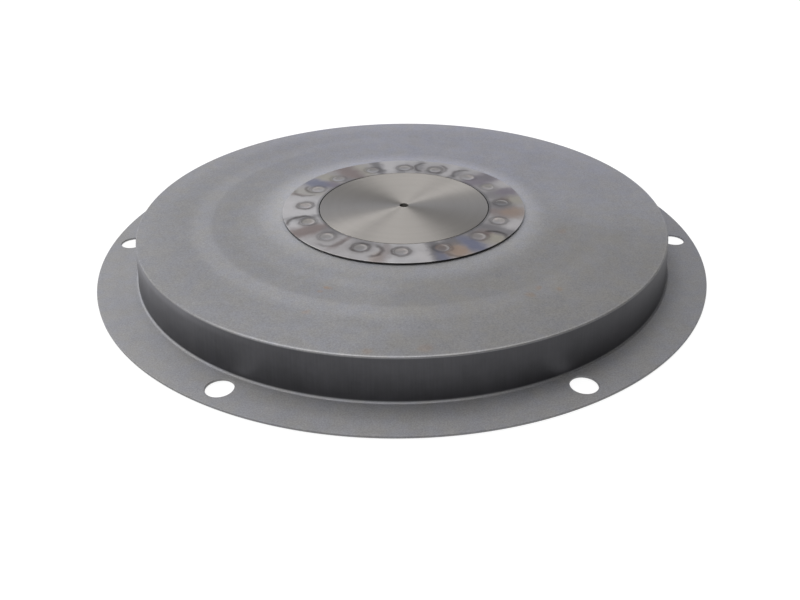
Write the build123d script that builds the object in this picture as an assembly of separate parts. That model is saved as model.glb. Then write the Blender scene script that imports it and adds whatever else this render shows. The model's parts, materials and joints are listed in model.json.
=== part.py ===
from build123d import *
import os
from math import cos, radians, sin

# A dished clutch plate: a deep-drawn steel pan with a bolt flange, and a turned hub carried in the middle
# of the pan. A thin ring on the pan's top, the pan itself and the hub's flange below it are joined by spot
# welds. Sizes are in millimetres. +Z points up out of the dish, and the origin is at the centre of the
# flange's underside.

# Bolt holes, and the flange they sit in
bolt_circle_diameter = 244.5
bolt_count = 6
bolt_hole_diameter = 9.8
bolt_to_rim = 8.55              # from the bolt circle out to the flange's rim
bolt_to_wall = 8.55             # from the bolt circle in to the foot of the pan's wall

# Pressed pan
sheet_thickness = 0.9
dish_height = 16.9              # from the flange's top to the pan's top
wall_lean = 1.8                 # how much further in the wall stands at its top than at its foot
shoulder_bend = 0.6             # outside radius of the bend between wall and top, struck sharp
shoulder_corner = 0.15          # inside radius of that bend
foot_bend = 1.0                 # inside radius of the bend between wall and flange
sheared_edge = 0.15             # rounding on the sheet's sheared edges

# Turned hub
hub_face_diameter = 74.0
hub_flange_thickness = 3.0
centre_hole_diameter = 4.0
hub_edge_chamfer = 0.5          # on the hub flange's lower edge
hub_face_chamfer = 0.15         # round the turned face and at the centre hole's mouths
hub_gap = 0.35                  # radial clearance from the hub to the pan and the ring

# Weld ring on the pan's top, which sets the hub flange's width too
ring_diameter = 105.8
ring_thickness = 1.0
ring_edge = 0.12                # rounding on the ring's edges

# Spot welds, set by hand at not quite even spacing. Angles are in degrees from +X.
weld_angles = (3, 27, 46, 70, 90, 111, 136, 156, 180, 202, 224, 247, 269, 291, 315, 338)
weld_from_bore = 6.05           # from the ring's bore to the middle of a weld
weld_diameter = 6.2
dimple_depth = 0.22             # left by the electrode at both ends of a weld

# Places worked out from the sizes above
flange_radius = bolt_circle_diameter / 2 + bolt_to_rim
foot_radius = bolt_circle_diameter / 2 - bolt_to_wall
shoulder_radius = foot_radius - wall_lean
bore_radius = hub_face_diameter / 2 + hub_gap
ring_radius = ring_diameter / 2
weld_circle_radius = bore_radius + weld_from_bore
pan_top = sheet_thickness + dish_height
pan_ceiling = pan_top - sheet_thickness
ring_top = pan_top + ring_thickness
hub_bottom = pan_ceiling - hub_flange_thickness


def turned(points):
    """A solid of revolution about Z, from the (radius, height) corners of its outline."""
    outline = Polyline(*points, close=True)
    return revolve(Plane.XZ * make_face(outline), Axis.Z)


def rounded(solid, corners):
    """The solid with its circular edges rounded, from the size of the rounding at each (radius, height)."""
    match = 0.01                # how near an edge lies to the corner that names it
    for (radius, height), size in corners.items():
        circles = solid.edges().filter_by(GeomType.CIRCLE)
        level = [c for c in circles if abs(c.center().Z - height) < match]
        solid = fillet([c for c in level if abs(c.radius - radius) < match], size)
    return solid


def on_circle(radius, angles):
    """The (x, y) places on a circle about Z at those angles, in degrees."""
    return [(radius * cos(radians(a)), radius * sin(radians(a))) for a in angles]


def posts(places, diameter, bottom, top):
    """Upright cylinders from bottom to top, one at each place."""
    post = Cylinder(diameter / 2, top - bottom, align=(Align.CENTER, Align.CENTER, Align.MIN))
    return [Pos(x, y, bottom) * post for x, y in places]


bolt_places = on_circle(bolt_circle_diameter / 2, [360 * i / bolt_count for i in range(bolt_count)])
weld_places = on_circle(weld_circle_radius, weld_angles)
weld_pockets = posts(weld_places, weld_diameter, hub_bottom, ring_top)


def pressed_pan():
    """Flange, wall and top drawn from one sheet, with the bolt holes and the hub's hole pierced."""
    rim_top = (flange_radius, sheet_thickness)
    rim_bottom = (flange_radius, 0)
    foot_outside = (foot_radius, sheet_thickness)
    foot_inside = (foot_radius - sheet_thickness, 0)
    shoulder_outside = (shoulder_radius, pan_top)
    shoulder_inside = (shoulder_radius - sheet_thickness, pan_ceiling)
    bore_top = (bore_radius, pan_top)
    bore_bottom = (bore_radius, pan_ceiling)
    sheet = turned([rim_bottom, rim_top, foot_outside, shoulder_outside, bore_top, bore_bottom,
                    shoulder_inside, foot_inside])
    sheet = rounded(sheet, {
        foot_outside: foot_bend,
        foot_inside: foot_bend + sheet_thickness,
        shoulder_outside: shoulder_bend,
        shoulder_inside: shoulder_corner,
        rim_top: sheared_edge,
        rim_bottom: sheared_edge,
        bore_top: sheared_edge,
        bore_bottom: sheared_edge,
    })
    bolt_holes = posts(bolt_places, bolt_hole_diameter, 0, sheet_thickness)
    return sheet - bolt_holes - weld_pockets


def weld_ring():
    """Thin flat ring on the pan's top, its bore in line with the pan's."""
    corners = [
        (ring_radius, pan_top),
        (ring_radius, ring_top),
        (bore_radius, ring_top),
        (bore_radius, pan_top),
    ]
    return rounded(turned(corners), {corner: ring_edge for corner in corners}) - weld_pockets


def turned_hub():
    """Round face level with the ring's top, on a flange that seats under the pan."""
    face_radius = hub_face_diameter / 2
    hole_radius = centre_hole_diameter / 2
    return turned([
        (hole_radius + hub_face_chamfer, hub_bottom),
        (ring_radius - hub_edge_chamfer, hub_bottom),
        (ring_radius, hub_bottom + hub_edge_chamfer),
        (ring_radius, pan_ceiling),
        (face_radius, pan_ceiling),
        (face_radius, ring_top - hub_face_chamfer),
        (face_radius - hub_face_chamfer, ring_top),
        (hole_radius + hub_face_chamfer, ring_top),
        (hole_radius, ring_top - hub_face_chamfer),
        (hole_radius, hub_bottom + hub_face_chamfer),
    ]) - weld_pockets


def spot_weld(x, y):
    """Round nugget through ring, pan and hub flange, with an electrode dimple at each end."""
    rim_radius = weld_diameter / 2
    dimple_radius = (rim_radius ** 2 + dimple_depth ** 2) / (2 * dimple_depth)
    nugget = posts([(x, y)], weld_diameter, hub_bottom, ring_top)[0]
    upper = Pos(x, y, ring_top - dimple_depth + dimple_radius) * Sphere(dimple_radius)
    lower = Pos(x, y, hub_bottom + dimple_depth - dimple_radius) * Sphere(dimple_radius)
    return nugget - upper - lower


nodes = {
    "pressed_pan": pressed_pan(),
    "weld_ring": weld_ring(),
    "turned_hub": turned_hub(),
}
for number, (x, y) in enumerate(weld_places, start=1):
    nodes[f"spot_weld_{number:02d}"] = spot_weld(x, y)

os.makedirs("parts", exist_ok=True)
for name, solid in nodes.items():
    export_step(solid, f"parts/{name}.step")
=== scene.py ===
"""A dished clutch plate in its finishes, on a pale studio floor, laid out as an add-on.

The plate is a pan pressed from steel sheet, with a thin ring spot welded on its top, round the face of a
turned hub. Lengths are in metres. +Z is up, -Y is the front, and the origin is at the centre of the flange's
underside.
"""

import json
from math import atan2, cos, degrees, hypot, pi, radians, sin, tau

import bpy
from mathutils import Matrix, Vector


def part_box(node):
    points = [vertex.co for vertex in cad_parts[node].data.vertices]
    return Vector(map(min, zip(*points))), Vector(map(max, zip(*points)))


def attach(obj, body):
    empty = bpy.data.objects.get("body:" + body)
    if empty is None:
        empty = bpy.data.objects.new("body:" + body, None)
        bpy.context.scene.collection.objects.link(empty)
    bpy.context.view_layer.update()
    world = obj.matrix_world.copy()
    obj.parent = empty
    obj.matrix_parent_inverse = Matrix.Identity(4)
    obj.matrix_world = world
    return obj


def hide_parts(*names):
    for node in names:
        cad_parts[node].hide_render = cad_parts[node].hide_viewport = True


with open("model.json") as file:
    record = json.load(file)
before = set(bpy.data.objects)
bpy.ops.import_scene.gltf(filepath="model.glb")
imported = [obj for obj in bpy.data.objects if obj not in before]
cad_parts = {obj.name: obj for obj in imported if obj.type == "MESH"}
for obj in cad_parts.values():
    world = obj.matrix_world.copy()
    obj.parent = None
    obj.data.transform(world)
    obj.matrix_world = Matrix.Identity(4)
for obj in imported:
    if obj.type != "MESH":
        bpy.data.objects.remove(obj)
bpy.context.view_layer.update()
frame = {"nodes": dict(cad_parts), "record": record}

bl_info = {
    "name": "Dished clutch plate",
    "version": (1, 0, 0),
    "blender": (4, 5, 0),
    "location": "3D View > Sidebar > Clutch plate",
    "description": "Builds a dished clutch plate with its finishes, and a studio to show it in",
    "category": "Add Mesh",
}

MM = 0.001
MICRON = 0.001 * MM
SHARP_ANGLE = radians(35)       # faces that meet at more than this shade as a crisp edge
DRILL_SIDES = 72


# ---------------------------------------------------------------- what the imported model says

def radii(node, lowest):
    """Distances from the axis of a node's corners above a height."""
    corners = (vertex.co for vertex in frame["nodes"][node].data.vertices)
    return [hypot(corner.x, corner.y) for corner in corners if corner.z > lowest]


def middle(node):
    """The middle of a node's box."""
    low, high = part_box(node)
    return (low + high) / 2


PAN_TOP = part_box("pressed_pan")[1].z
FLANGE_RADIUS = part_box("pressed_pan")[1].x
SHOULDER_RADIUS = max(radii("pressed_pan", PAN_TOP / 2))
RING_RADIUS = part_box("weld_ring")[1].x
RING_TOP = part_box("weld_ring")[1].z
BORE_RADIUS = min(radii("weld_ring", 0))
WELD_NODES = sorted(name for name in frame["nodes"] if name.startswith("spot_weld_"))
WELDS = [middle(node) for node in WELD_NODES]
WELD_PLACES = [(weld.x, weld.y, 0) for weld in WELDS]
WELD_RADIUS = (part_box(WELD_NODES[0])[1].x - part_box(WELD_NODES[0])[0].x) / 2
MOUNTS = {mount["name"]: mount for mount in frame["record"]["mounts"]}
BOLTING = MOUNTS["flange_bolts"]["dims"]
SHEET = MOUNTS["flange_bolts"]["pos_m"][2]


def bearing(degrees_from_front, radius_mm):
    """The flat place, in millimetres, at an angle from the front, positive to the right."""
    angle = radians(degrees_from_front)
    return (radius_mm * sin(angle), -radius_mm * cos(angle), 0.0)


# ---------------------------------------------------------------- node trees

class Wire:
    """An output socket. Arithmetic on it adds Math nodes, and square brackets pick another output."""

    def __init__(self, graph, node, output=0):
        self.graph = graph
        self.node = node
        self.socket = node.outputs[output]

    def __getitem__(self, output):
        return Wire(self.graph, self.node, output)

    def __add__(self, other):
        return self.graph.math("ADD", self, other)

    def __radd__(self, other):
        return self.graph.math("ADD", other, self)

    def __sub__(self, other):
        return self.graph.math("SUBTRACT", self, other)

    def __rsub__(self, other):
        return self.graph.math("SUBTRACT", other, self)

    def __mul__(self, other):
        return self.graph.math("MULTIPLY", self, other)

    def __rmul__(self, other):
        return self.graph.math("MULTIPLY", other, self)

    def __truediv__(self, other):
        return self.graph.math("DIVIDE", self, other)

    def __rtruediv__(self, other):
        return self.graph.math("DIVIDE", other, self)

    def __lt__(self, other):
        return self.graph.math("LESS_THAN", self, other)

    def __gt__(self, other):
        return self.graph.math("GREATER_THAN", self, other)


class Graph:
    """Adds nodes to one node tree, of a material, a world or a geometry modifier."""

    def __init__(self, tree):
        self.tree = tree
        tree.nodes.clear()

    def add(self, kind, settings=None, values=()):
        """A node of that kind, with its settings, then its sockets' values or links in order or by name.

        The setting called items is the number of an Index Switch's options.
        """
        node = self.tree.nodes.new(kind)
        for name, setting in (settings or {}).items():
            if name == "items":
                for _ in range(setting - len(node.index_switch_items)):
                    node.index_switch_items.new()
            else:
                setattr(node, name, setting)
        usable = [socket for socket in node.inputs if socket.enabled and not socket.is_unavailable]
        if isinstance(values, dict):
            named = {socket.name: socket for socket in reversed(usable)}
            pairs = [(named[name], value) for name, value in values.items()]
        else:
            pairs = list(zip(usable, values))
        for socket, value in pairs:
            if isinstance(value, Wire):
                self.tree.links.new(value.socket, socket)
            elif value is not None:
                socket.default_value = value
        outputs = [i for i, socket in enumerate(node.outputs) if socket.enabled]
        return Wire(self, node, outputs[0]) if outputs else node

    def math(self, operation, *values):
        return self.add("ShaderNodeMath", {"operation": operation}, values)

    def vector(self, operation, *values):
        return self.add("ShaderNodeVectorMath", {"operation": operation}, values)

    def xyz(self, x, y, z=0.0):
        return self.add("ShaderNodeCombineXYZ", None, (x, y, z))

    def smooth(self, value, start, end, low=0.0, high=1.0):
        """The low value before start and the high one past end, with a smooth step between them."""
        settings = {"interpolation_type": "SMOOTHSTEP"}
        return self.add("ShaderNodeMapRange", settings, (value, start, end, low, high))

    def bump_at(self, value, centre, half_width, height=1.0):
        """That height where value is at the centre, falling smoothly to 0 at half_width from it."""
        return self.smooth(self.math("ABSOLUTE", value - centre), 0.0, half_width, height, 0.0)

    def greatest(self, first, *others):
        for other in others:
            first = self.math("MAXIMUM", first, other)
        return first

    def mix(self, share, first, second):
        """A blend of two colours."""
        colours = [(*c, 1.0) if isinstance(c, tuple) and len(c) == 3 else c for c in (first, second)]
        return self.add("ShaderNodeMix", {"data_type": "RGBA"}, (share, *colours))

    def shade(self, tint, amount):
        """A colour made lighter or darker, or a vector longer or shorter, by a factor."""
        return self.add("ShaderNodeVectorMath", {"operation": "SCALE"}, {"Vector": tint, "Scale": amount})

    def noise(self, place, size, detail=2.0, roughness=0.5):
        """Noise from about -0.5 to 0.5, whose features are about that size."""
        sockets = {"Vector": place, "Scale": 1 / size, "Detail": detail, "Roughness": roughness}
        return self.add("ShaderNodeTexNoise", None, sockets) - 0.5

    def line_noise(self, value, size, detail=2.0):
        """Noise from about -0.5 to 0.5 along one value."""
        sockets = {"W": value, "Scale": 1 / size, "Detail": detail}
        return self.add("ShaderNodeTexNoise", {"noise_dimensions": "1D"}, sockets) - 0.5


class Form(Graph):
    """The geometry tree of one piece. Its named inputs are the piece's sizes, and Places takes points."""

    def __init__(self, name, sizes):
        super().__init__(bpy.data.node_groups.new(name, "GeometryNodeTree"))
        self.name = name
        self.sizes = sizes
        interface = self.tree.interface
        interface.new_socket("Mesh", in_out="OUTPUT", socket_type="NodeSocketGeometry")
        interface.new_socket("Places", in_out="INPUT", socket_type="NodeSocketGeometry")
        self.sockets = {}
        for label, size in sizes.items():
            kind = "NodeSocketInt" if isinstance(size, int) else "NodeSocketFloat"
            self.sockets[label] = interface.new_socket(label, in_out="INPUT", socket_type=kind).identifier
        self.given = self.add("NodeGroupInput")
        self.index = self.add("GeometryNodeInputIndex")
        self.place = self.add("GeometryNodeInputPosition")

    def choice(self, kind, options):
        """The option whose number is the element's index."""
        settings = {"data_type": kind, "items": len(options)}
        return self.add("GeometryNodeIndexSwitch", settings, (self.index, *options))

    def swept(self, corners, step, around):
        """A closed outline swept round the axis. Its (radius, height, rounding) corners are listed clockwise.

        A straight stretch is cut about every step, and closer beside its ends, to keep the shading crisp.
        The stretch from the last corner back to the first stays whole.
        """
        path_radius = corners[0][0]
        places = [self.xyz(radius - path_radius, 0.0 - height) for radius, height, _ in corners]
        place = self.choice("VECTOR", places)
        rounding = self.choice("FLOAT", [rounding for _, _, rounding in corners])
        outline = self.add("GeometryNodePoints", None, (len(corners), place))
        outline = self.add("GeometryNodePointsToCurves", None, (outline,))
        outline = self.add("GeometryNodeSetSplineCyclic", None, {"Geometry": outline, "Cyclic": True})
        wide_bend = 0.5 * MM
        facets = 3 + 5 * (rounding > wide_bend)
        outline = self.add("GeometryNodeFilletCurve", {"mode": "POLY"}, (outline, facets, rounding))
        count = self.add("GeometryNodeAttributeDomainSize", {"component": "CURVE"}, (outline,))
        settings = {"data_type": "FLOAT_VECTOR", "domain": "POINT"}
        following = self.add("GeometryNodeFieldAtIndex", settings, (self.place, self.index + 1))
        stretch = self.vector("DISTANCE", self.place, following)["Value"]
        cuts = self.math("FLOOR", stretch / step) * (self.index < count - 1)
        settings = {"data_type": "FLOAT", "domain": "POINT"}
        numbered = self.add("GeometryNodeStoreNamedAttribute", settings,
                            {"Geometry": outline, "Name": "number", "Value": self.index})
        cut = self.add("GeometryNodeSubdivideCurve", None, (numbered, cuts))
        number = self.add("GeometryNodeInputNamedAttribute", {"data_type": "FLOAT"}, ("number",))
        slack = 0.001
        start = self.math("FLOOR", number + slack)
        share = 0.5 - 0.5 * self.math("COSINE", pi * (number - start))
        ends = [self.add("GeometryNodeSampleIndex", {"data_type": "FLOAT_VECTOR"}, (outline, self.place, end))
                for end in (start, start + 1)]
        spread = self.add("ShaderNodeMix", {"data_type": "VECTOR"}, (share, *ends))
        cut = self.add("GeometryNodeSetPosition", None, {"Geometry": cut, "Position": spread})
        path = self.add("GeometryNodeCurvePrimitiveCircle", None, (around, path_radius))
        return self.add("GeometryNodeCurveToMesh", None, {"Curve": path, "Profile Curve": cut})

    def drilled(self, solid, places, radius, bottom, top, chamfer=None):
        """The solid with a round hole through it at each place, with or without chamfered mouths."""
        # The drill has three equal lengths. The middle one ends at the chamfers, and the others flare out at
        # 45 degrees.
        third = top - bottom
        if chamfer:
            third = third - 2 * chamfer
        drill = self.add("GeometryNodeMeshCylinder", None,
                         {"Vertices": DRILL_SIDES, "Side Segments": 3, "Radius": radius, "Depth": 3 * third})
        if chamfer:
            height = self.math("ABSOLUTE", self.add("ShaderNodeSeparateXYZ", None, (self.place,))["Z"])
            flare = 1 + (height > third) * third / radius
            flared = self.vector("MULTIPLY", self.place, self.xyz(flare, flare, 1.0))
            drill = self.add("GeometryNodeSetPosition", None, {"Geometry": drill, "Position": flared})
        level = self.xyz(0.0, 0.0, (bottom + top) / 2)
        points = self.add("GeometryNodeSetPosition", None, {"Geometry": places, "Offset": level})
        drills = self.add("GeometryNodeInstanceOnPoints", None, {"Points": points, "Instance": drill})
        settings = {"operation": "DIFFERENCE", "solver": "MANIFOLD"}
        return self.add("GeometryNodeMeshBoolean", settings, (solid, drills))

    def piece(self, shape, material, places):
        """The tree's shape, with those Places, as a plain mesh of that material in an object of its own."""
        whole = self.add("GeometryNodeRealizeInstances", None, (shape,))
        finished = self.add("GeometryNodeSetMaterial", None, {"Geometry": whole, "Material": material})
        self.add("NodeGroupOutput", None, (finished,))
        points = bpy.data.meshes.new(self.name + "_places")
        points.from_pydata(places, [], [])
        holder = bpy.data.objects.new(self.name + "_holder", points)
        bpy.context.scene.collection.objects.link(holder)
        modifier = holder.modifiers.new("Shape", "NODES")
        modifier.node_group = self.tree
        for label, size in self.sizes.items():
            modifier[self.sockets[label]] = size
        evaluated = holder.evaluated_get(bpy.context.evaluated_depsgraph_get())
        mesh = bpy.data.meshes.new_from_object(evaluated)
        bpy.data.objects.remove(holder)
        if not mesh.polygons:
            raise RuntimeError("the tree of " + self.name + " made no faces")
        mesh.name = self.name
        mesh.shade_smooth()
        mesh.set_sharp_from_angle(angle=SHARP_ANGLE)
        piece = bpy.data.objects.new(self.name, mesh)
        bpy.context.scene.collection.objects.link(piece)
        return piece


class Finish(Graph):
    """A metal's shader, on Object coordinates.

    The radius is taken from the plate's axis. Across runs from -1 at the left to 1 at the right, and along
    from -1 at the front to 1 at the back.
    """

    def __init__(self, name):
        self.material = bpy.data.materials.new(name)
        self.material.use_nodes = True
        super().__init__(self.material.node_tree)
        self.place = self.add("ShaderNodeTexCoord")["Object"]
        parts = self.add("ShaderNodeSeparateXYZ", None, (self.place,))
        self.x, self.y, self.z = parts["X"], parts["Y"], parts["Z"]
        self.flat_place = self.xyz(self.x, self.y)
        self.radius = self.vector("LENGTH", self.flat_place)["Value"]
        self.across = self.x / self.radius
        self.along = self.y / self.radius

    def metal(self, skin, roughness, height, anisotropy=0.0):
        """Ends the tree in a bare metal with that colour, roughness and relief (a height in metres)."""
        normal = self.add("ShaderNodeBump", None, {"Strength": 1.0, "Distance": 1.0, "Height": height})
        sockets = {"Base Color": skin, "Metallic": 1.0, "Roughness": roughness, "Normal": normal,
                   "Anisotropic": anisotropy, "Anisotropic Rotation": 0.25}
        surface = self.add("ShaderNodeBsdfPrincipled", None, sockets)
        self.add("ShaderNodeOutputMaterial", None, {"Surface": surface})
        return self.material


# ---------------------------------------------------------------- settings

def length(name, description, default):
    return bpy.props.FloatProperty(name=name, description=description, default=default, min=0.0,
                                   precision=5, unit="LENGTH")


def colour(name, description, default):
    return bpy.props.FloatVectorProperty(name=name, description=description, default=default, min=0.0,
                                         max=1.0, size=3, subtype="COLOR")


def factor(name, description, default):
    return bpy.props.FloatProperty(name=name, description=description, default=default, min=0.0, max=1.0,
                                   subtype="FACTOR")


def power(name, description, default):
    return bpy.props.FloatProperty(name=name, description=description, default=default, min=0.0, unit="POWER")


class PlateSizes(bpy.types.PropertyGroup):
    """Bends, edges and relief of the sheet metal"""

    wall_lean: length("Wall lean", "How much further in the wall stands at its top", 1.8 * MM)
    shoulder_bend: length("Shoulder bend", "Outside radius of the bend between wall and top", 0.6 * MM)
    shoulder_corner: length("Shoulder corner", "Inside radius of that bend", 0.15 * MM)
    foot_bend: length("Foot bend", "Inside radius of the bend between wall and flange", 1.0 * MM)
    sheared_edge: length("Sheared edge", "Rounding on the pan's sheared edges", 0.15 * MM)
    hole_chamfer: length("Hole chamfer", "Chamfer at the mouths of the bolt holes", 0.12 * MM)
    ripple: length("Ripple", "Height of the shallow rings pressed in the pan's top", 0.07 * MM)
    ring_edge: length("Ring edge", "Rounding on the weld ring's edges", 0.1 * MM)
    ring_margin: length("Ring margin", "How far in the weld ring's rim stands clear of the pan", 4.2 * MM)
    widest_gap: length("Widest gap", "Height of the slot under the ring's rim at its widest", 0.78 * MM)
    gap_spread: length("Gap spread", "How much the slot's height changes round the ring", 0.66 * MM)


class PlateFinishes(bpy.types.PropertyGroup):
    """Colours and roughnesses of the bare metal"""

    pressed_colour: colour("Pressed steel", "The pan's flange and top", (0.243, 0.242, 0.250))
    pressed_roughness: factor("Pressed roughness", "How matt the pan is", 0.68)
    # The wall's colour is darkened to paint the shade on it
    wall_shade_colour: colour("Drawn wall", "The pan's wall, burnished dark by the die", (0.086, 0.0855, 0.092))
    ring_colour: colour("Ring steel", "The weld ring away from the welds", (0.406, 0.397, 0.402))
    ring_roughness: factor("Ring roughness", "How matt the weld ring is", 0.38)
    turned_colour: colour("Turned steel", "The hub's turned face", (0.287, 0.272, 0.257))
    turned_roughness: factor("Turned roughness", "How matt the turned face is", 0.5)
    weld_colour: colour("Weld steel", "The electrode dimples", (0.275, 0.264, 0.26))


class PlateStudio(bpy.types.PropertyGroup):
    """The floor and the lamps"""

    floor_colour: colour("Floor", "Colour of the floor", (1.0, 1.0, 1.0))
    overhead_power: power("Overhead lamp", "Power of the lamp above the plate", 5.5)
    left_power: power("Left lamp", "Power of the lamp at the left", 5.0)


# ---------------------------------------------------------------- shapes

def pan_mesh(sizes, material):
    """Flange, wall and top from one outline, with the bolt holes and the welds' pockets."""
    form = Form("pan", {
        "Flange radius": FLANGE_RADIUS,
        "Shoulder radius": SHOULDER_RADIUS,
        "Wall lean": sizes.wall_lean,
        "Bore radius": BORE_RADIUS,
        "Top": PAN_TOP,
        "Sheet": SHEET,
        "Shoulder bend": sizes.shoulder_bend,
        "Shoulder corner": sizes.shoulder_corner,
        "Foot bend": sizes.foot_bend,
        "Sheared edge": sizes.sheared_edge,
        "Ripple": sizes.ripple,
        "Bolt circle radius": BOLTING["pcd_mm"] / 2 * MM,
        "Bolts": BOLTING["count"],
        "Bolt hole radius": BOLTING["hole_r_mm"] * MM,
        "Hole chamfer": sizes.hole_chamfer,
        "Weld radius": WELD_RADIUS,
        "Step": 1.6 * MM,
        "Segments": 360,
    })
    given = form.given
    rim, shoulder, bore = given["Flange radius"], given["Shoulder radius"], given["Bore radius"]
    top, sheet, edge = given["Top"], given["Sheet"], given["Sheared edge"]
    foot = shoulder + given["Wall lean"]
    ceiling = top - sheet
    solid = form.swept([
        (rim, 0.0, edge),
        (foot - sheet, 0.0, given["Foot bend"] + sheet),
        (shoulder - sheet, ceiling, given["Shoulder corner"]),
        (bore, ceiling, edge),
        (bore, top, edge),
        (shoulder, top, given["Shoulder bend"]),
        (foot, sheet, given["Foot bend"]),
        (rim, sheet, edge),
    ], given["Step"], given["Segments"])

    # Shallow rings in the top, fading out under the weld ring and before the shoulder
    place = form.add("ShaderNodeSeparateXYZ", None, (form.place,))
    radius = form.vector("LENGTH", form.xyz(place["X"], place["Y"]))["Value"]
    crest = 82 * MM
    wave = 28 * MM
    fine_wave = 0.42 * wave
    swell_size = 60 * MM
    fade = 6 * MM
    wide_fade = 16 * MM
    slack = 0.01 * MM
    rings = form.math("COSINE", (radius - crest) * (tau / wave))
    finer = form.math("COSINE", (radius - crest) * (tau / fine_wave))
    inside = form.smooth(radius, RING_RADIUS, RING_RADIUS + fade)
    outside = form.smooth(radius, SHOULDER_RADIUS - fade, SHOULDER_RADIUS - wide_fade)
    level = place["Z"] > ceiling - slack
    swell = form.noise(form.place, swell_size, 1.0) * 0.8
    lift = form.xyz(0.0, 0.0, (rings + 0.35 * finer + swell) * given["Ripple"] * inside * outside * level)
    solid = form.add("GeometryNodeSetPosition", None, {"Geometry": solid, "Offset": lift})

    bolts = form.add("GeometryNodeMeshCircle", None, (given["Bolts"], given["Bolt circle radius"]))
    solid = form.drilled(solid, bolts, given["Bolt hole radius"], 0.0, sheet, given["Hole chamfer"])
    solid = form.drilled(solid, given["Places"], given["Weld radius"], ceiling, top)
    return form.piece(solid, material, WELD_PLACES)


def ring_mesh(sizes, material):
    """Thin ring whose rim stands a little clear of the pan, most at the front right."""
    form = Form("ring", {
        "Rim radius": RING_RADIUS,
        "Bore radius": BORE_RADIUS,
        "Bottom": PAN_TOP,
        "Top": RING_TOP,
        "Edge": sizes.ring_edge,
        "Margin": sizes.ring_margin,
        "Widest gap": sizes.widest_gap,
        "Gap spread": sizes.gap_spread,
        "Weld radius": WELD_RADIUS,
        "Step": 0.8 * MM,
        "Segments": 480,
    })
    given = form.given
    rim, bore, edge = given["Rim radius"], given["Bore radius"], given["Edge"]
    bottom, top = given["Bottom"], given["Top"]
    seat = rim - given["Margin"]
    slot_top = bottom + given["Widest gap"]
    small = 0.04 * MM
    widest_at = 40
    wave_size = 14 * MM
    wave_height = 0.05 * MM
    slack = 0.02 * MM
    solid = form.swept([
        (bore, bottom, small),
        (bore, top, edge),
        (rim, top, edge),
        (rim, slot_top, small),
        (seat, slot_top, small),
        (seat, bottom, small),
    ], given["Step"], given["Segments"])
    place = form.add("ShaderNodeSeparateXYZ", None, (form.place,))
    flat = form.vector("NORMALIZE", form.xyz(place["X"], place["Y"]))
    towards = form.vector("DOT_PRODUCT", flat, bearing(widest_at, 1.0))["Value"]
    slot = (place["Z"] > slot_top - 2 * small) * (place["Z"] < slot_top + 2 * small)
    drop = slot * given["Gap spread"] * (towards - 1) / 2
    waves = form.noise(form.place, wave_size, 2.0) * (place["Z"] > top - slack) * wave_height
    lift = form.xyz(0.0, 0.0, drop + waves)
    solid = form.add("GeometryNodeSetPosition", None, {"Geometry": solid, "Offset": lift})
    solid = form.drilled(solid, given["Places"], given["Weld radius"], bottom, top)
    return form.piece(solid, material, WELD_PLACES)


# ---------------------------------------------------------------- finishes

# Tints that heat, smoke, rust and the rolling leave, and tints of painted shade and of a painted sky
# reflection, as factors of the colour of the steel under them
TINTS = {
    "scoured": (1.12, 1.10, 1.09),
    "straw": (0.74, 0.71, 0.60),
    "amber": (0.66, 0.51, 0.40),
    "brown": (0.43, 0.345, 0.32),
    "violet": (0.40, 0.355, 0.42),
    "blue": (0.33, 0.355, 0.49),
    "slate": (0.35, 0.34, 0.35),
    "haze": (0.66, 0.63, 0.615),
    "smoke": (0.27, 0.255, 0.25),
    "scorched": (0.34, 0.33, 0.32),
    "bloom": (0.86, 0.85, 0.825),
    "bluish": (0.985, 0.99, 1.06),
    "cool": (0.985, 0.995, 1.025),
    "warm": (1.02, 1.01, 0.975),
    "rust": (1.12, 0.86, 0.66),
}

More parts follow.
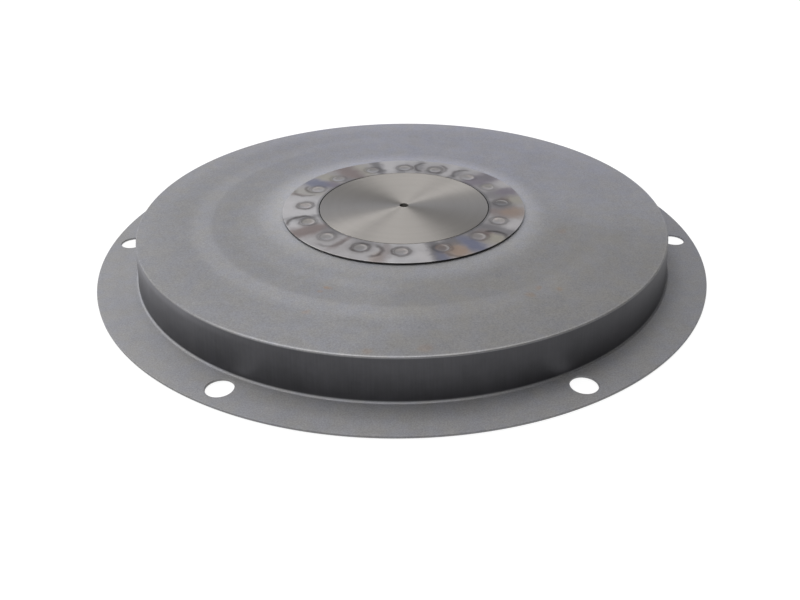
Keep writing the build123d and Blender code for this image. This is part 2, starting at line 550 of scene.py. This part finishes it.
# Stains on the ring: bearing from the front and half length, both in degrees, radius and half width, both in
# millimetres, tint and strength
STAINS = [
    (-136.0, 36.0, 45.0, 22.0, "haze", 0.9),
    (-36.0, 30.0, 43.0, 14.0, "haze", 0.6),
    (36.0, 30.0, 43.0, 16.0, "haze", 0.9),
    (104.0, 48.0, 43.0, 18.0, "haze", 0.8),
    (162.0, 26.0, 42.0, 14.0, "haze", 0.6),
    (-178.0, 8.0, 38.5, 3.2, "slate", 0.6),
    (-171.0, 4.0, 46.0, 12.0, "scoured", 0.6),
    (-163.5, 3.4, 45.0, 18.0, "slate", 0.95),
    (-153.5, 5.0, 45.0, 13.0, "straw", 0.8),
    (-145.0, 7.0, 45.0, 18.0, "brown", 0.95),
    (-137.0, 5.0, 39.5, 4.0, "slate", 0.5),
    (-131.0, 5.0, 48.0, 7.0, "straw", 0.9),
    (-124.0, 5.5, 40.5, 6.0, "violet", 0.95),
    (-121.0, 5.5, 48.0, 8.0, "blue", 0.9),
    (-107.5, 5.0, 47.0, 12.0, "straw", 0.5),
    (-104.0, 1.8, 50.0, 6.0, "brown", 0.5),
    (-88.0, 13.0, 47.0, 12.0, "scoured", 0.5),
    (-74.0, 3.0, 44.0, 11.0, "slate", 0.6),
    (-64.0, 5.0, 49.0, 5.0, "scoured", 0.5),
    (-58.0, 6.5, 46.0, 18.0, "brown", 0.9),
    (-50.0, 8.0, 39.0, 3.6, "slate", 0.65),
    (-35.5, 2.2, 43.0, 9.0, "brown", 0.6),
    (-22.0, 11.0, 39.0, 2.8, "slate", 0.5),
    (-12.5, 3.4, 50.0, 6.0, "amber", 0.45),
    (-9.5, 3.4, 45.0, 12.0, "brown", 0.5),
    (9.5, 4.0, 46.0, 14.0, "scoured", 0.5),
    (17.0, 4.6, 45.0, 18.0, "slate", 0.95),
    (18.0, 3.6, 50.5, 6.0, "blue", 0.7),
    (29.5, 7.0, 40.0, 5.5, "slate", 0.95),
    (26.8, 7.0, 48.2, 6.0, "amber", 1.0),
    (36.3, 5.0, 46.5, 11.0, "blue", 1.0),
    (52.0, 14.0, 39.0, 4.0, "slate", 0.7),
    (48.8, 7.5, 45.5, 6.0, "brown", 0.95),
    (49.0, 6.5, 50.0, 4.2, "straw", 1.0),
    (57.5, 5.0, 46.0, 18.0, "slate", 0.85),
    (68.0, 8.0, 50.0, 5.0, "scoured", 0.5),
    (80.0, 7.5, 42.0, 10.0, "brown", 0.75),
    (81.0, 8.0, 48.0, 6.0, "amber", 0.8),
    (90.0, 7.0, 42.0, 7.0, "slate", 0.85),
    (97.5, 4.5, 46.0, 4.2, "brown", 0.85),
    (96.0, 6.0, 49.8, 4.2, "straw", 0.9),
    (105.0, 7.0, 42.0, 9.0, "slate", 0.65),
    (106.5, 5.5, 49.0, 7.0, "violet", 0.85),
    (117.0, 6.0, 50.0, 5.0, "scoured", 0.5),
    (128.0, 8.0, 45.0, 16.0, "violet", 0.9),
    (129.0, 5.0, 50.0, 6.0, "slate", 0.6),
    (145.0, 3.2, 42.0, 9.0, "slate", 0.6),
    (151.0, 3.4, 46.0, 12.0, "scoured", 0.5),
    (160.0, 8.0, 39.0, 3.6, "slate", 0.5),
    (171.0, 3.2, 44.0, 12.0, "slate", 0.6),
]

# Arcs of smoke round the electrode's shoulder: bearing and radius of the circle's middle, the circle's own
# radius, the turn to its darkest point, and strength, in the same units. The turn is 0 outwards, and grows
# anticlockwise as seen from above.
ARCS = [
    (-114.5, 44.5, 4.6, 70, 0.9),
    (-109.0, 47.0, 5.2, 80, 0.6),
    (-67.0, 46.0, 6.6, -80, 1.0),
    (-42.0, 44.5, 5.6, 60, 0.5),
    (-17.5, 44.5, 5.0, 90, 1.0),
    (27.0, 48.3, 5.0, -80, 0.6),
    (49.5, 48.3, 5.2, 90, 0.9),
    (140.0, 44.5, 5.6, 90, 0.8),
    (160.5, 44.0, 5.4, -90, 0.8),
    (166.5, 45.0, 5.4, 90, 0.9),
]

# Of each weld, in the order of the nodes: how dark the smoke round it is, the dimple's tint and its strength,
# and the turn, as above, to the side on which a highlight is painted in the dimple
WELD_MARKS = [
    (0.55, "slate", 0.80, 60),
    (0.40, "straw", 0.30, -60),
    (0.35, "scoured", 0.20, -90),
    (0.80, "slate", 0.15, 90),
    (0.85, "slate", 0.10, 0),
    (0.50, "slate", 0.30, 90),
    (0.45, "slate", 0.30, 60),
    (0.55, "scoured", 0.30, 0),
    (0.90, "scoured", 0.70, 180),
    (0.85, "straw", 0.30, 150),
    (0.65, "slate", 0.10, 180),
    (1.00, "slate", 0.20, 120),
    (1.00, "slate", 0.10, 90),
    (0.65, "brown", 0.75, 80),
    (0.50, "brown", 0.35, 60),
    (0.75, "scoured", 0.60, 140),
]

# Faint rust on the pan's top: bearing from the front in degrees, radius and size in millimetres, and strength
RUST = [
    (-21.5, 75.0, 1.6, 0.75),
    (-22.0, 78.5, 1.2, 0.5),
    (-21.0, 92.0, 2.2, 0.35),
    (31.0, 88.0, 2.6, 0.4),
    (35.0, 86.0, 2.4, 0.45),
    (39.0, 91.0, 2.2, 0.4),
    (4.0, 107.5, 3.6, 0.3),
    (-6.0, 109.5, 2.6, 0.3),
    (70.0, 70.0, 3.5, 0.3),
]


def side_of(degrees_from_front, turn):
    """The flat direction at a turn from outwards, at a bearing from the front."""
    return bearing(degrees_from_front + turn, 1.0)


def tinted(f, share, skin, tint, bare=None):
    """The skin with a share of it changed to a tint of the bare metal, or else of the skin itself."""
    return f.mix(share, skin, f.vector("MULTIPLY", bare or skin, TINTS[tint]))


def top_painted_light(f, cloud):
    """How much lighter the pan's top is than plain sheet: painted light and painted shade."""
    # Painted light: a pale zone round the weld ring, brightest and widest at the left and least at the front
    strength = 0.15 + 0.22 * f.math("ABSOLUTE", f.across) - 0.09 * f.across + 0.1 * f.along
    reach = RING_RADIUS + (14 - 3 * f.across) * MM
    scoured = 1.05 * strength * f.smooth(f.radius + 6 * MM * cloud, reach, RING_RADIUS)

    # Painted sheen, where the light falls, on a band round the middle of the top, a fainter one inside it at
    # the left, and the rim
    rim_start = 94 * MM
    band = f.smooth(f.radius, 81.5 * MM, 84 * MM) * f.smooth(f.radius, rim_start, 88 * MM)
    inner_band = f.bump_at(f.radius, 69 * MM, 6 * MM) * f.smooth(f.across, 0.3, -0.2)
    rim = f.smooth(f.radius, rim_start, 112 * MM)
    painted_sheen = (0.06 - 0.05 * f.across - 0.05 * f.along) * band
    painted_sheen = painted_sheen + 0.05 * (1 - f.along) * inner_band
    painted_sheen = painted_sheen + (0.06 + 0.08 * f.along - 0.03 * f.across) * rim

    # Painted shade at the left of the top
    painted_shade_left = f.smooth(f.across, -0.1, -0.8, 0.0, 0.07)
    return scoured + painted_sheen - painted_shade_left


def flange_painted_light(f, foot_radius):
    """How much lighter the flange is than plain sheet: a painted highlight along the foot of the wall,
    painted light beside the foot at the front and left and painted shade there at the right, and the flange
    lighter towards the left.
    """
    # Painted highlight along the foot of the wall, strongest at the front and made darker at the right
    painted_foot_highlight = f.bump_at(f.radius, foot_radius + 0.45 * MM, 0.6 * MM) * (f.z < SHEET + 1 * MM)
    painted_foot_highlight = painted_foot_highlight * (0.02 + f.bump_at(f.across, -0.08, 0.5, 0.36) - f.smooth(f.across, 0.1, 0.6, 0.0, 0.4))
    # Painted light beside the foot at the front and left, painted shade there at the right
    painted_light_beside_foot = f.smooth(f.radius, foot_radius + 9 * MM, foot_radius)
    painted_light_beside_foot = painted_light_beside_foot * f.smooth(f.across, 0.0, 0.6, 0.14, -0.12)
    on_flange = f.z < SHEET + 0.5 * MM
    return painted_foot_highlight + (painted_light_beside_foot + 0.02 - 0.04 * f.across) * on_flange


def wall_painted_shade(f, wall_shade_colour, cloud, fine_cloud):
    """The wall's share of a place, and its colour: the dark wall colour, with painted light at the far left
    and at the left under the shoulder, painted shade at the front right, and fine draw marks up it.
    """
    middle_height = (PAN_TOP + SHEET) / 2
    half_height = (PAN_TOP - SHEET) / 2
    from_middle = f.math("ABSOLUTE", f.z - middle_height)
    share = f.smooth(from_middle, half_height - 0.2 * MM, half_height - 0.8 * MM)

    stretch = 0.04
    around = f.math("ARCTAN2", f.y, f.x) * SHOULDER_RADIUS
    marks = f.noise(f.xyz(around, 0.0, f.z * stretch), 0.7 * MM, 3.0, 0.6)
    # Painted light at the far left, most near the top, and at the left under the shoulder; painted shade at
    # the front right
    painted_light_far_left = f.smooth(f.across, -0.45, -0.95, 0.0, 0.9) * f.smooth(f.z, SHEET + 2 * MM, PAN_TOP, 0.2, 1.0)
    under_shoulder = f.smooth(f.z, PAN_TOP - 4 * MM, PAN_TOP - 1.5 * MM)
    left = f.smooth(f.across, -0.3, -0.85, 0.0, 0.6) * under_shoulder
    right = f.bump_at(f.across, 0.45, 0.35, 0.1)
    tone = (1 + painted_light_far_left - right + left) * (1 + 0.25 * marks + 0.45 * cloud + 0.3 * fine_cloud)
    return share, f.shade(wall_shade_colour, tone)


def pressed_steel(finishes, lean):
    """Dull cold-rolled sheet with a fine grain, painted light round the weld ring and on the top, shoulder
    and flange, and a wall made dark with painted shade.
    """
    f = Finish("pressed_steel")
    grain = f.noise(f.place, 0.5 * MM, 3.0, 0.6)
    cloud = f.noise(f.place, 22 * MM, 4.0, 0.6)
    fine_cloud = f.noise(f.place, 5 * MM, 3.0, 0.6)
    on_top = f.z > PAN_TOP - 0.4 * MM
    # The back of the top, which gets painted light and a painted bluish sky reflection
    behind = f.smooth(f.along + 0.3 * f.across, -0.2, 1.1)

    # Painted highlight, with less roughness, along the bend between wall and top, but for the far left, and
    # less at the right
    shoulder = f.bump_at(f.radius, SHOULDER_RADIUS - 0.25 * MM, 1.0 * MM) * (f.z > PAN_TOP - 0.7 * MM)
    shoulder = shoulder * f.smooth(f.across, -0.75, -0.35) * f.smooth(f.across, 0.75, 0.1, 0.5, 1.0)

    tone = 1 + 0.2 * cloud + 0.2 * fine_cloud + 0.8 * grain
    tone = tone + (top_painted_light(f, cloud) + 0.06 * behind) * on_top
    tone = tone + 0.2 * shoulder + flange_painted_light(f, SHOULDER_RADIUS + lean)
    top = f.shade(tuple(finishes.pressed_colour), tone)

    # Painted shade, faintly brownish, at the front right, a painted bluish sky reflection at the back, and a
    # mottle all over
    towards = f.vector("DOT_PRODUCT", f.flat_place, bearing(38, 1.0))["Value"] / f.radius
    clear_of_ring = f.smooth(f.radius, RING_RADIUS + 6 * MM, RING_RADIUS + 16 * MM)
    bloom = f.smooth(towards + 0.6 * cloud, 0.6, 0.95) * clear_of_ring
    top = tinted(f, bloom * on_top, top, "bloom")
    top = tinted(f, behind, top, "bluish")
    mottle = f.smooth(f.noise(f.place, 9 * MM, 4.0, 0.65), -0.16, 0.16)
    cool = f.vector("MULTIPLY", top, TINTS["cool"])
    warm = f.vector("MULTIPLY", top, TINTS["warm"])
    top = f.mix(mottle, cool, warm)

    # Specks of rust with ragged edges
    wander = f.shade(f.xyz(fine_cloud, cloud, 0.0), 6.0)
    ragged_mm = f.vector("MULTIPLY_ADD", f.flat_place, (1 / MM, 1 / MM, 0.0), wander)
    for turn, middle_radius, size, strength in RUST:
        reach = f.vector("DISTANCE", ragged_mm, bearing(turn, middle_radius))["Value"]
        rust = f.smooth(reach, size, 0.3 * size, 0.0, strength) * on_top
        top = tinted(f, rust, top, "rust")

    # The wall, made dark with painted shade
    wall, shaded_wall_skin = wall_painted_shade(f, tuple(finishes.wall_shade_colour), cloud, fine_cloud)
    skin = f.mix(wall, top, shaded_wall_skin)
    roughness = finishes.pressed_roughness + 0.08 * cloud + 0.05 * fine_cloud - 0.17 * wall - 0.2 * shoulder
    return f.metal(skin, roughness, 10 * MICRON * grain)


def ring_steel(finishes):
    """Bare steel, clean or stained by the welding heat, with dark oxide round each weld."""
    f = Finish("ring_steel")
    grain = f.noise(f.place, 0.6 * MM, 3.0, 0.6)
    cloud = f.noise(f.place, 5 * MM, 3.0, 0.6)

    # The marks' edges wander, those of the stains more than those of the smoke
    sockets = {"Vector": f.place, "Scale": 1 / (3 * MM), "Detail": 3.0}
    wander = f.add("ShaderNodeTexNoise", None, sockets)["Color"]
    wander = f.vector("SUBTRACT", wander, (0.5, 0.5, 0.5))
    flat_mm = f.shade(f.flat_place, 1 / MM)
    stained = f.vector("MULTIPLY_ADD", wander, (4.0, 4.0, 0.0), flat_mm)
    smoked = f.vector("MULTIPLY_ADD", wander, (1.8, 1.8, 0.0), flat_mm)
    parts = f.add("ShaderNodeSeparateXYZ", None, (stained,))
    angle = f.math("DEGREES", f.math("ARCTAN2", parts["X"], 0.0 - parts["Y"]))
    polar = f.xyz(angle, f.vector("LENGTH", stained)["Value"])

    bare = f.shade(tuple(finishes.ring_colour), 1 + 0.14 * grain + 0.22 * cloud)
    skin = bare
    for turn, half_turn, middle_radius, half_width, tint, strength in STAINS:
        scale = (1 / half_turn, 1 / half_width, 0.0)
        offset = (-turn / half_turn, -middle_radius / half_width, 0.0)
        reach = f.vector("LENGTH", f.vector("MULTIPLY_ADD", polar, scale, offset))["Value"]
        skin = tinted(f, f.smooth(reach, 1.4, 0.3, 0.0, strength), skin, tint, bare)

    # Dark arcs of smoke, and a dark ring in a haze round each weld. Sizes are in millimetres
    line_half_width = 1.7
    ring_radius = 3.7
    haze_radius = 6.8
    smoke = 0.0
    for turn, middle_radius, size, side, strength in ARCS:
        offset = f.vector("SUBTRACT", smoked, bearing(turn, middle_radius))
        facing = f.vector("DOT_PRODUCT", f.vector("NORMALIZE", offset), side_of(turn, side))["Value"]
        near = f.bump_at(f.vector("LENGTH", offset)["Value"], size, line_half_width, strength)
        smoke = f.greatest(smoke, near * f.smooth(facing, -0.1, 0.6))
    for weld, (dark, _, _, _) in zip(WELDS, WELD_MARKS):
        reach = f.vector("DISTANCE", smoked, (weld.x / MM, weld.y / MM, 0.0))["Value"]
        haze = f.smooth(reach, haze_radius, 3.6, 0.0, 0.4 * dark)
        smoke = f.greatest(smoke, f.bump_at(reach, ring_radius, line_half_width, dark), haze)
    smoke = smoke * (0.85 + 1.2 * cloud)
    skin = tinted(f, smoke, skin, "smoke")

    # Painted shade, near black, beside the bore at the sides, and on every face below the ring's top, such as
    # the rim's edge
    near_black_shade = (0.062, 0.062, 0.064)
    shade_beside_bore = f.smooth(f.radius, BORE_RADIUS + 1.7 * MM, BORE_RADIUS + 0.2 * MM, 0.0, 0.6)
    sides = f.smooth(f.math("ABSOLUTE", f.across), 0.25, 0.8)
    shaded_below_top = f.smooth(f.z, RING_TOP - 0.2 * MM, RING_TOP - 0.45 * MM)
    skin = f.mix(f.greatest(shade_beside_bore * sides, shaded_below_top), skin, near_black_shade)
    roughness = finishes.ring_roughness + 0.1 * cloud + 0.1 * smoke
    return f.metal(skin, roughness, 5 * MICRON * grain)


def turned_steel(finishes):
    """Lathe-turned face with fine grooves, and painted shade on its sides."""
    f = Finish("turned_steel")
    groove = f.line_noise(f.radius, 0.25 * MM, 3.0)
    band = f.line_noise(f.radius, 4 * MM, 2.0)
    cloud = f.noise(f.place, 16 * MM, 3.0, 0.5)
    tone = f.shade(tuple(finishes.turned_colour), 1 + 0.12 * groove + 0.08 * band + 0.08 * cloud)
    shaded_below_top = f.smooth(f.z, RING_TOP - 0.1 * MM, RING_TOP - 0.3 * MM)
    # Painted shade: below the top, the face's sides are made darker
    dark = 0.45
    skin = f.mix(shaded_below_top, tone, f.shade(tone, dark))
    return f.metal(skin, finishes.turned_roughness, 1.5 * MICRON * groove, anisotropy=0.95)


def weld_steel(finishes):
    """Dimples left by the electrodes, with a trace of copper, each with its own heat, and a highlight painted
    on one side.
    """
    f = Finish("weld_steel")
    grain = f.noise(f.place, 0.8 * MM, 3.0, 0.6)
    cloud = f.noise(f.place, 2.5 * MM, 2.0, 0.6)
    flat_mm = f.shade(f.flat_place, 1 / MM)
    copper = (0.42, 0.35, 0.33)
    copper_share = f.smooth(cloud, -0.05, 0.25, 0.0, 0.4)
    bare = f.mix(copper_share, tuple(finishes.weld_colour), copper)
    bare = f.shade(bare, 1 + 0.16 * grain + 0.2 * cloud)

    # Sizes are in millimetres
    rim_radius = 3.3
    rim_half_width = 1.1
    shift = 1.3
    skin = bare
    rim = 0.0
    painted_highlight = 0.0
    for weld, (dark, tint, strength, side) in zip(WELDS, WELD_MARKS):
        centre = (weld.x / MM, weld.y / MM, 0.0)
        turn = degrees(atan2(weld.x, -weld.y))
        away = side_of(turn, side)
        reach = f.vector("DISTANCE", flat_mm, centre)["Value"]
        skin = tinted(f, (reach < rim_radius) * strength, skin, tint, bare)
        rim = f.greatest(rim, f.bump_at(reach, rim_radius, rim_half_width, 0.9 * dark))
        # The painted highlight is the part of the dimple that a like disc, shifted to the other side, leaves
        # uncovered
        shifted = (centre[0] - shift * away[0], centre[1] - shift * away[1], 0.0)
        uncovered = f.smooth(f.vector("DISTANCE", flat_mm, shifted)["Value"], 2.4, 3.4)
        painted_highlight = f.greatest(painted_highlight, uncovered * f.smooth(reach, 3.0, 2.5))
    # Painted highlight: the bare metal made 1.4 times as light on that side of each dimple
    skin = f.mix(0.55 * painted_highlight, skin, f.shade(bare, 1.4))
    skin = tinted(f, rim, skin, "scorched")
    roughness = 0.34 + 0.1 * cloud
    return f.metal(skin, roughness, 8 * MICRON * grain)


# ---------------------------------------------------------------- operators

def paint(node, material):
    """Gives a CAD node that stays visible its finish."""
    mesh = frame["nodes"][node].data
    if not mesh.materials:
        mesh.materials.append(material)
    for slot in range(len(mesh.materials)):
        mesh.materials[slot] = material


def stand_for(piece, node):
    """Puts the piece in a CAD node's place, on the plate's one body."""
    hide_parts(node)
    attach(piece, "root")


class PLATE_OT_pan(bpy.types.Operator):
    """Build the pressed pan"""

    bl_idname = "plate.pan"
    bl_label = "Pressed pan"

    def execute(self, context):
        material = pressed_steel(context.scene.plate_finishes, context.scene.plate_sizes.wall_lean)
        stand_for(pan_mesh(context.scene.plate_sizes, material), "pressed_pan")
        return {"FINISHED"}


class PLATE_OT_ring(bpy.types.Operator):
    """Build the weld ring"""

    bl_idname = "plate.ring"
    bl_label = "Weld ring"

    def execute(self, context):
        material = ring_steel(context.scene.plate_finishes)
        stand_for(ring_mesh(context.scene.plate_sizes, material), "weld_ring")
        return {"FINISHED"}


class PLATE_OT_hub(bpy.types.Operator):
    """Finish the turned hub"""

    bl_idname = "plate.hub"
    bl_label = "Turned hub"

    def execute(self, context):
        paint("turned_hub", turned_steel(context.scene.plate_finishes))
        return {"FINISHED"}


class PLATE_OT_welds(bpy.types.Operator):
    """Finish the spot welds"""

    bl_idname = "plate.welds"
    bl_label = "Spot welds"

    def execute(self, context):
        material = weld_steel(context.scene.plate_finishes)
        for node in WELD_NODES:
            paint(node, material)
        return {"FINISHED"}


def floor_material(studio):
    """Pale floor that looks white to the camera and to metal, and keeps a soft shadow."""
    material = bpy.data.materials.new("studio_floor")
    material.use_nodes = True
    g = Graph(material.node_tree)
    path = g.add("ShaderNodeLightPath")
    seen = g.greatest(path["Is Camera Ray"], path["Is Glossy Ray"], path["Is Transmission Ray"])
    lit = 0.22              # the share of its whiteness that comes from the light, and so shows a shadow
    light_level = 0.8       # how bright the light makes a white floor
    reflectance = 0.8       # of the floor that lights the plate
    tint = (*studio.floor_colour, 1.0)
    dim_tint = (*(channel * lit for channel in studio.floor_colour), 1.0)
    plain_tint = (*(channel * reflectance for channel in studio.floor_colour), 1.0)
    glow = g.add("ShaderNodeEmission", None, {"Color": tint, "Strength": 1 - light_level * lit})
    dim = g.add("ShaderNodeBsdfDiffuse", None, {"Color": dim_tint})
    shown = g.add("ShaderNodeAddShader", None, (glow, dim))
    plain = g.add("ShaderNodeBsdfDiffuse", None, {"Color": plain_tint})
    surface = g.add("ShaderNodeMixShader", None, (seen, plain, shown))
    g.add("ShaderNodeOutputMaterial", None, {"Surface": surface})
    return material


def studio_world():
    """Soft light all round, brighter at the left and the back, with a darker patch behind the plate."""
    world = bpy.data.worlds.new("studio_world")
    world.use_nodes = True
    g = Graph(world.node_tree)
    direction = g.add("ShaderNodeTexCoord")["Generated"]
    parts = g.add("ShaderNodeSeparateXYZ", None, (direction,))
    right = g.smooth(parts["X"], -0.1, 0.9) * g.smooth(parts["Z"], 0.8, 0.3)
    back = g.smooth(parts["Y"], 0.2, 1.0)
    low = g.smooth(parts["Z"], 0.5, 0.0)
    level = 0.76 - 0.30 * parts["X"] + 0.26 * parts["Y"]
    level = level * (1 - 0.40 * right) + 0.12 * back * low
    behind = g.bump_at(parts["X"], 0.0, 0.5) * g.bump_at(parts["Z"], 0.45, 0.4) * back
    level = level * (1 - 0.35 * behind)
    tint = g.mix(back * low, (1.0, 1.0, 1.0), (0.95, 1.0, 1.16))
    background = g.add("ShaderNodeBackground", None, {"Color": tint, "Strength": level})
    g.add("ShaderNodeOutputWorld", None, {"Surface": background})
    return world


def area_lamp(name, place, aim, size, energy):
    """A soft square lamp at a place, aimed at a point."""
    lamp = bpy.data.lights.new(name, "AREA")
    lamp.shape = "SQUARE"
    lamp.size = size
    lamp.energy = energy
    holder = bpy.data.objects.new(name, lamp)
    holder.location = place
    holder.rotation_euler = (Vector(aim) - Vector(place)).to_track_quat("-Z", "Y").to_euler()
    bpy.context.scene.collection.objects.link(holder)


class PLATE_OT_studio(bpy.types.Operator):
    """Set up the floor, the light and the camera"""

    bl_idname = "plate.studio"
    bl_label = "Studio"

    def execute(self, context):
        studio = context.scene.plate_studio
        reach = 3.0
        drop = 0.2 * MM
        mesh = bpy.data.meshes.new("studio_floor")
        corners = [(x * reach, y * reach, -drop) for x, y in ((-1, -1), (1, -1), (1, 1), (-1, 1))]
        mesh.from_pydata(corners, [], [(0, 1, 2, 3)])
        mesh.materials.append(floor_material(studio))
        floor = bpy.data.objects.new("studio_floor", mesh)
        context.scene.collection.objects.link(floor)
        context.scene.world = studio_world()
        plate = (0, 0, 0)
        area_lamp("overhead_lamp", (0.0, 0.15, 1.0), plate, 0.9, studio.overhead_power)
        area_lamp("left_lamp", (-1.0, 0.35, 0.75), plate, 0.8, studio.left_power)
        self.camera(context)
        context.scene.view_settings.view_transform = "Standard"
        return {"FINISHED"}

    def camera(self, context):
        """The camera stands in front of the plate and above it, aimed a little off its centre."""
        distance = 0.34773
        elevation = 27.245
        bearing_right = 0.687
        nod, swing, roll = 4.243, -1.575, -0.637
        data = bpy.data.cameras.new("studio_camera")
        data.sensor_width = 36.0
        data.lens = 34.42
        data.shift_x = -0.0328
        data.shift_y = -0.0029
        camera = bpy.data.objects.new("studio_camera", data)
        e = radians(elevation)
        place = Matrix.Translation((0, -distance * cos(e), distance * sin(e) + SHEET))
        look = (Matrix.Rotation(radians(90 - elevation), 4, "X") @ Matrix.Rotation(radians(swing), 4, "Y")
                @ Matrix.Rotation(radians(-nod), 4, "X") @ Matrix.Rotation(radians(roll), 4, "Z"))
        camera.matrix_world = Matrix.Rotation(radians(bearing_right), 4, "Z") @ place @ look
        context.scene.collection.objects.link(camera)
        context.scene.camera = camera


class PLATE_PT_panel(bpy.types.Panel):
    """The plate's pieces, sizes and finishes"""

    bl_idname = "PLATE_PT_panel"
    bl_label = "Clutch plate"
    bl_space_type = "VIEW_3D"
    bl_region_type = "UI"
    bl_category = "Clutch plate"

    def draw(self, context):
        for operator in OPERATORS:
            self.layout.operator(operator.bl_idname)
        for name, group in GROUPS.items():
            for setting in group.__annotations__:
                self.layout.prop(getattr(context.scene, name), setting)


OPERATORS = (PLATE_OT_pan, PLATE_OT_ring, PLATE_OT_hub, PLATE_OT_welds, PLATE_OT_studio)
GROUPS = {"plate_sizes": PlateSizes, "plate_finishes": PlateFinishes, "plate_studio": PlateStudio}


def register():
    for cls in (*GROUPS.values(), *OPERATORS, PLATE_PT_panel):
        bpy.utils.register_class(cls)
    for name, group in GROUPS.items():
        setattr(bpy.types.Scene, name, bpy.props.PointerProperty(type=group))


def unregister():
    for name in GROUPS:
        delattr(bpy.types.Scene, name)
    for cls in (PLATE_PT_panel, *OPERATORS, *GROUPS.values()):
        bpy.utils.unregister_class(cls)


def main():
    register()
    bpy.ops.plate.pan()
    bpy.ops.plate.ring()
    bpy.ops.plate.hub()
    bpy.ops.plate.welds()
    bpy.ops.plate.studio()


if __name__ == "__main__":
    main()
